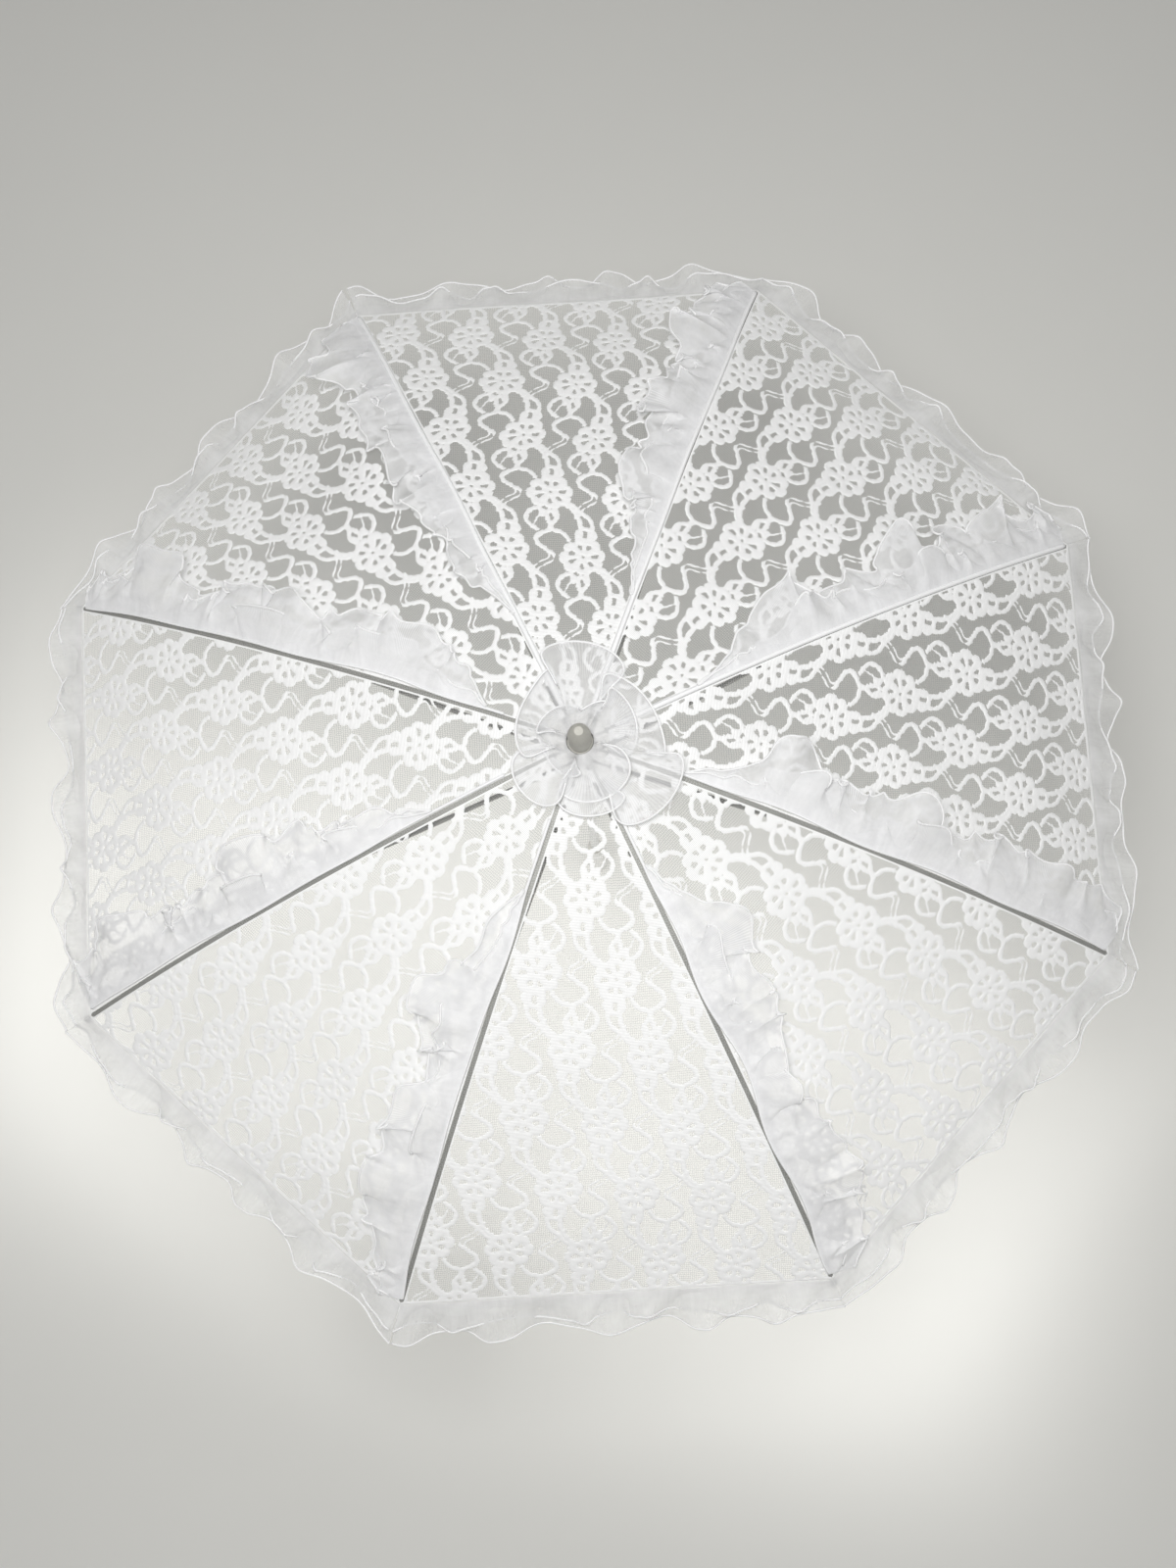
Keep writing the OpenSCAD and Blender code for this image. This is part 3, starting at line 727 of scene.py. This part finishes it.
def frill_layer(rib, layer, s, length, loops):
    """Points and UV of one layer of a rib's frill, row by row from the seam to the free edge."""
    width, lift = RIB_FRILL_LAYERS[layer]
    seed = 100 + 10 * rib + layer
    phase = 2 * math.pi * s / GATHER_PITCH + 2.0 * wave_sum(s, length, (1, 2, 3, 5, 7), seed)
    w = np.linspace(0, 1, RIB_FRILL_COLUMNS)
    ss, ww = np.meshgrid(s, w, indexing="ij")
    pp = np.repeat(phase[:, None], len(w), axis=1)
    root = np.repeat(seam_line(rib, s, length)[:, None], len(w), axis=1)
    far_end = np.clip((length - ss) / (20 * MM) + 0.55, 0, 1)
    taper = np.clip(ss / FRILL_TAPER[rib], 0.03, 1) ** 0.8 * far_end
    wide = width * taper * (1 + 0.13 * wave_sum(ss, length, (2, 3, 4, 7), seed + 1))
    stand, spread = loop_push(ss, layer, loops)
    curl = 1 + 0.55 * wave_sum(ss, length, (4, 6, 9, 11), seed + 2)
    grow = ww ** 1.6
    crease = wave_sum(ss + 0.7 * wide * ww, length, (5, 8, 11, 15, 19), seed + 3)
    up = wide * (0.13 * np.sin(0.9 * math.pi * ww)) + GATHER_RISE * grow * taper * curl * np.sin(pp)
    up += (CREASE_RISE * np.sin(math.pi * ww) * crease + LOOP_RISE * grow * stand) * taper
    up = np.maximum(up, (0.5 + 1.2 * ww) * MM) + lift * MM
    out = wide * (0.93 + LOOP_REACH * ww * stand) * ww + GATHER_REACH * grow * np.sin(2 * pp + 1.0) * taper
    slide = GATHER_SLIDE * grow * taper * curl * np.cos(pp + 0.4) + CREASE_SLIDE * ww * crease * taper
    slide += LOOP_SLIDE * grow * spread * taper
    t = FRILL_START[rib] + (ss + slide) / ARC_LENGTH
    radial, height = arc_at(t, NET_LIFT + up)
    points = np.stack([radial, FRILL_SIDE[rib] * (root + out), height], axis=-1)
    return turned(points, RIB_AZIMUTH[rib]), np.stack([ss, ww * wide], axis=-1)


def rib_frill(rib):
    """A folded strip of organza sewn along a rib, flopped to one side, with a corded, curling edge."""
    start = FRILL_START[rib]
    length = (FRILL_END - start) * ARC_LENGTH
    s = np.linspace(0, length, int(length / FRILL_STEP))
    scatter = np.random.default_rng(500 + rib).uniform(-LOOP_SCATTER, LOOP_SCATTER, len(LOOP_PLACES))
    loops = length * np.array(LOOP_PLACES) + scatter * MM
    parts, uvs, cords = [], [], []
    for layer in range(len(RIB_FRILL_LAYERS)):
        points, uv = frill_layer(rib, layer, s, length, loops)
        parts.append((points, grid_faces(len(s), RIB_FRILL_COLUMNS)))
        uvs.append(uv.reshape(-1, 2))
        cords.append(tube(points[:, -1], CORD_RADIUS))
    t = np.linspace(SEAM_START[rib], FRILL_END, SEAM_POINTS)
    radial, height = arc_at(t, NET_LIFT + SEAM_LIFT)
    across = seam_line(rib, np.maximum((t - start) * ARC_LENGTH, 0), length)
    seam = turned(np.stack([radial, FRILL_SIDE[rib] * across, height], axis=-1), RIB_AZIMUTH[rib])
    cords.append(tube(seam, SEAM_RADIUS[rib] * MM))
    points, faces = joined(parts)
    name = f"{rib + 1}"
    frill = new_piece(f"rib_frill_{name}", points, faces, FRILL_ORGANZA, np.concatenate(uvs))
    points, faces = joined(cords)
    cord = new_piece(f"rib_frill_cord_{name}", points, faces, CORD)
    for piece in (frill, cord):
        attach(piece, f"rib_{rib + 1}")
        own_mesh(piece)
    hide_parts(f"organza_ruffle_{rib + 1}")


def hem_frill(gore):
    """Two layers of organza round one gore's hem, each with a corded wavy edge, in two halves."""
    middle = RIB_AZIMUTH[gore] + HALF_STEP
    edge = 2 * half_width(1.0)
    around = RIBS * edge
    centre = int(edge / 2 / FRILL_STEP)
    v = np.linspace(-1, 1, 2 * centre + 1)
    vv, ww = np.meshgrid(v, np.linspace(0, 1, HEM_COLUMNS), indexing="ij")
    base, _, across, normal = gore_frame(vv, np.ones_like(vv), gore)
    place = (gore + (vv + 1) / 2) * edge
    corner = np.clip((np.abs(vv) - CORNER_START) / (1 - CORNER_START), 0, 1)
    turn = HALF_STEP * np.sign(vv) * corner ** 1.5
    dip = TIP_SLOPE + HEM_DIP
    level = math.cos(dip)
    out = np.stack([np.cos(turn) * level, np.sin(turn) * level, -math.sin(dip) + 0 * turn], axis=-1)
    layers = []
    for layer, (width, lift, amplitude) in enumerate(HEM_LAYERS):
        seed = 900 + layer
        waves = 2 * math.pi * place * (HEM_WAVES + HEM_WAVES_MORE * layer) / around
        phase = waves + 1.6 * wave_sum(place, around, (3, 5, 8, 13, 21), seed)
        grow = ww ** 1.2
        fullness = 1 + 0.3 * wave_sum(place, around, (7, 11, 17, 29), seed + 1)
        drift = wave_sum(place, around, (9, 15, 26, 31), seed + 2)
        wide = width * (0.95 + 0.055 * np.sin(phase + 1.1) + 0.05 * drift)
        rise = amplitude * MM * grow * np.sin(phase) * fullness + lift * MM
        rise += 1.0 * MM * ww * np.sin(2.6 * phase + 4 * ww)
        slide = 0.3 * amplitude * MM * grow * np.cos(phase + 0.3)
        points = base + out * (wide * ww)[..., None] + normal * rise[..., None] + across * slide[..., None]
        layers.append((turned(points, middle), np.stack([place, ww * wide], axis=-1)))
    for side, rib, name, columns in halves_of(gore, centre):
        points, faces = joined([(p[columns], grid_faces(centre + 1, HEM_COLUMNS)) for p, _ in layers])
        uv = np.concatenate([u[columns].reshape(-1, 2) for _, u in layers])
        frill = new_piece(f"hem_frill_{name}", points, faces, HEM_ORGANZA, uv)
        points, faces = joined([tube(p[columns, -1], CORD_RADIUS) for p, _ in layers])
        cord = new_piece(f"hem_cord_{name}", points, faces, CORD)
        for piece in (frill, cord):
            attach(piece, f"rib_{rib + 1}")
            gather_in(piece, rib, side)
        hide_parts(f"organza_ruffle_{rib + 1}")


def rosette():
    """Gathered petals of organza round the crown, in two tiers with corded edges."""
    parts, uvs, cords = [], [], []
    theta = np.linspace(0, 2 * math.pi, ROSETTE_POINTS)
    aa, ww = np.meshgrid(theta, np.linspace(0, 1, ROSETTE_COLUMNS), indexing="ij")
    for tier, (petals, reach, height, lift) in enumerate(ROSETTE_TIERS):
        wobble = wave_sum(aa, 2 * math.pi, (1, 2, 3), 40 + tier)
        phase = petals * aa + 0.9 * wobble + 1.3 * tier
        grow = ww ** 1.2
        lobe = np.sqrt(np.abs(np.sin(phase / 2)))
        far = reach * (0.34 + 0.50 * lobe + 0.14 * wobble)
        radius = (ROSETTE_BORE + (far - ROSETTE_BORE) * ww) * MM
        swing = ROSETTE_SWING / petals * grow * np.sin(phase)
        z = lift + height * (0.6 * np.sin(0.85 * math.pi * ww) + 0.5 * grow * np.cos(phase + 0.8))
        z += 0.9 * ww * np.sin(3 * phase + 6 * ww)
        z = CROWN_Z + np.maximum(z, 5.5 - 4.0 * ww) * MM
        points = np.stack([radius * np.cos(aa + swing), radius * np.sin(aa + swing), z], axis=-1)
        parts.append((points, grid_faces(ROSETTE_POINTS, ROSETTE_COLUMNS)))
        uvs.append(np.stack([aa * reach * MM * 0.6, ww * reach * MM], axis=-1).reshape(-1, 2))
        cords.append(tube(points[:, -1], CORD_RADIUS))
    points, faces = joined(parts)
    cloth = new_piece("rosette_petals", points, faces, ROSETTE_ORGANZA, np.concatenate(uvs))
    points, faces = joined(cords)
    cord = new_piece("rosette_cord", points, faces, CORD)
    for piece in (cloth, cord):
        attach(piece, "shaft")
    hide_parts("crown_rosette")


# ---- Stage ---------------------------------------------------------------------------------------
def floor():
    """A plain pale floor just under the handle."""
    s = Shader("floor_paint")
    colour = s.ramp(s.noise(s.place(), 3, 4), (0.73, 0.725, 0.69), (0.76, 0.755, 0.72))
    s.set(Base_Color=colour, Roughness=0.85)
    corners = [(x * FLOOR_HALF, y * FLOOR_HALF, 0) for x, y in ((-1, -1), (1, -1), (1, 1), (-1, 1))]
    piece = new_piece("floor", corners, [[0, 1, 2, 3]], s.material, smooth=False)
    piece.location.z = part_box("handle")[0][2] - FLOOR_GAP


def area_light(name, place, target, size, watts, spread=180.0, turn=0.0):
    """A rectangular soft light that the camera doesn't see. spread and turn, about +Z, are in degrees."""
    light = bpy.data.lights.new(name, "AREA")
    light.shape = "RECTANGLE"
    light.size, light.size_y = size
    light.energy = watts
    light.spread = math.radians(spread)
    lamp = bpy.data.objects.new(name, light)
    lamp.location = place
    aim = (Vector(target) - Vector(place)).to_track_quat("-Z", "Y")
    lamp.rotation_euler = (Matrix.Rotation(math.radians(turn), 3, "Z") @ aim.to_matrix()).to_euler()
    lamp.visible_camera = False
    bpy.context.scene.collection.objects.link(lamp)


def studio():
    """A soft key light above, four weak fills for the views from the side, a low panel under the canopy that
    brightens the floor below its front half, and an even pale surround."""
    world = bpy.data.worlds.new("surround")
    world.use_nodes = True
    background = world.node_tree.nodes["Background"]
    background.inputs["Color"].default_value = (1.0, 1.0, 0.99, 1)
    background.inputs["Strength"].default_value = 0.15
    bpy.context.scene.world = world
    area_light("key_light", (-0.04, -0.14, 2.35), (0, 0, 0.4), (0.6, 0.6), 34)
    for k in range(4):
        a = math.pi / 4 + math.pi / 2 * k
        place = (2.2 * math.cos(a), 2.2 * math.sin(a), 0.62)
        area_light(f"fill_light_{k + 1}", place, (0, 0, 0.36), (0.7, 0.7), 0.45, spread=50)
    over, under = (-0.085, -0.15, 0.24), (-0.085, -0.15, 0.0)
    area_light("floor_light", over, under, (1.05, 0.5), 1.05, spread=80, turn=-22)


def camera():
    """Looks almost straight down on the ferrule, tilted a little towards the front."""
    tilt, roll, spin = math.radians(-9.75), math.radians(-1.36), math.radians(3.38)
    turn = Matrix.Rotation(tilt, 3, "X") @ Matrix.Rotation(roll, 3, "Y") @ Matrix.Rotation(spin, 3, "Z")
    # The middle of the rib tips' circle, and where it lies in the camera's own axes
    tips = Vector((0, 0, CROWN_Z - DOME_DEPTH))
    seen_at = Vector((-0.0019, 0.0041, -1.600))
    lens = bpy.data.cameras.new("view")
    lens.lens = 49.5
    lens.sensor_width = 36
    eye = bpy.data.objects.new("view", lens)
    eye.matrix_world = Matrix.Translation(tips - turn.transposed() @ seen_at) @ turn.transposed().to_4x4()
    bpy.context.scene.collection.objects.link(eye)
    bpy.context.scene.camera = eye


camera()
for gore_number in range(RIBS):
    make_gore(gore_number)
    hem_frill(gore_number)
    rib_frill(gore_number)
rosette()
finish_cad_nodes()
floor()
studio()
bpy.context.scene.view_settings.view_transform = "Standard"
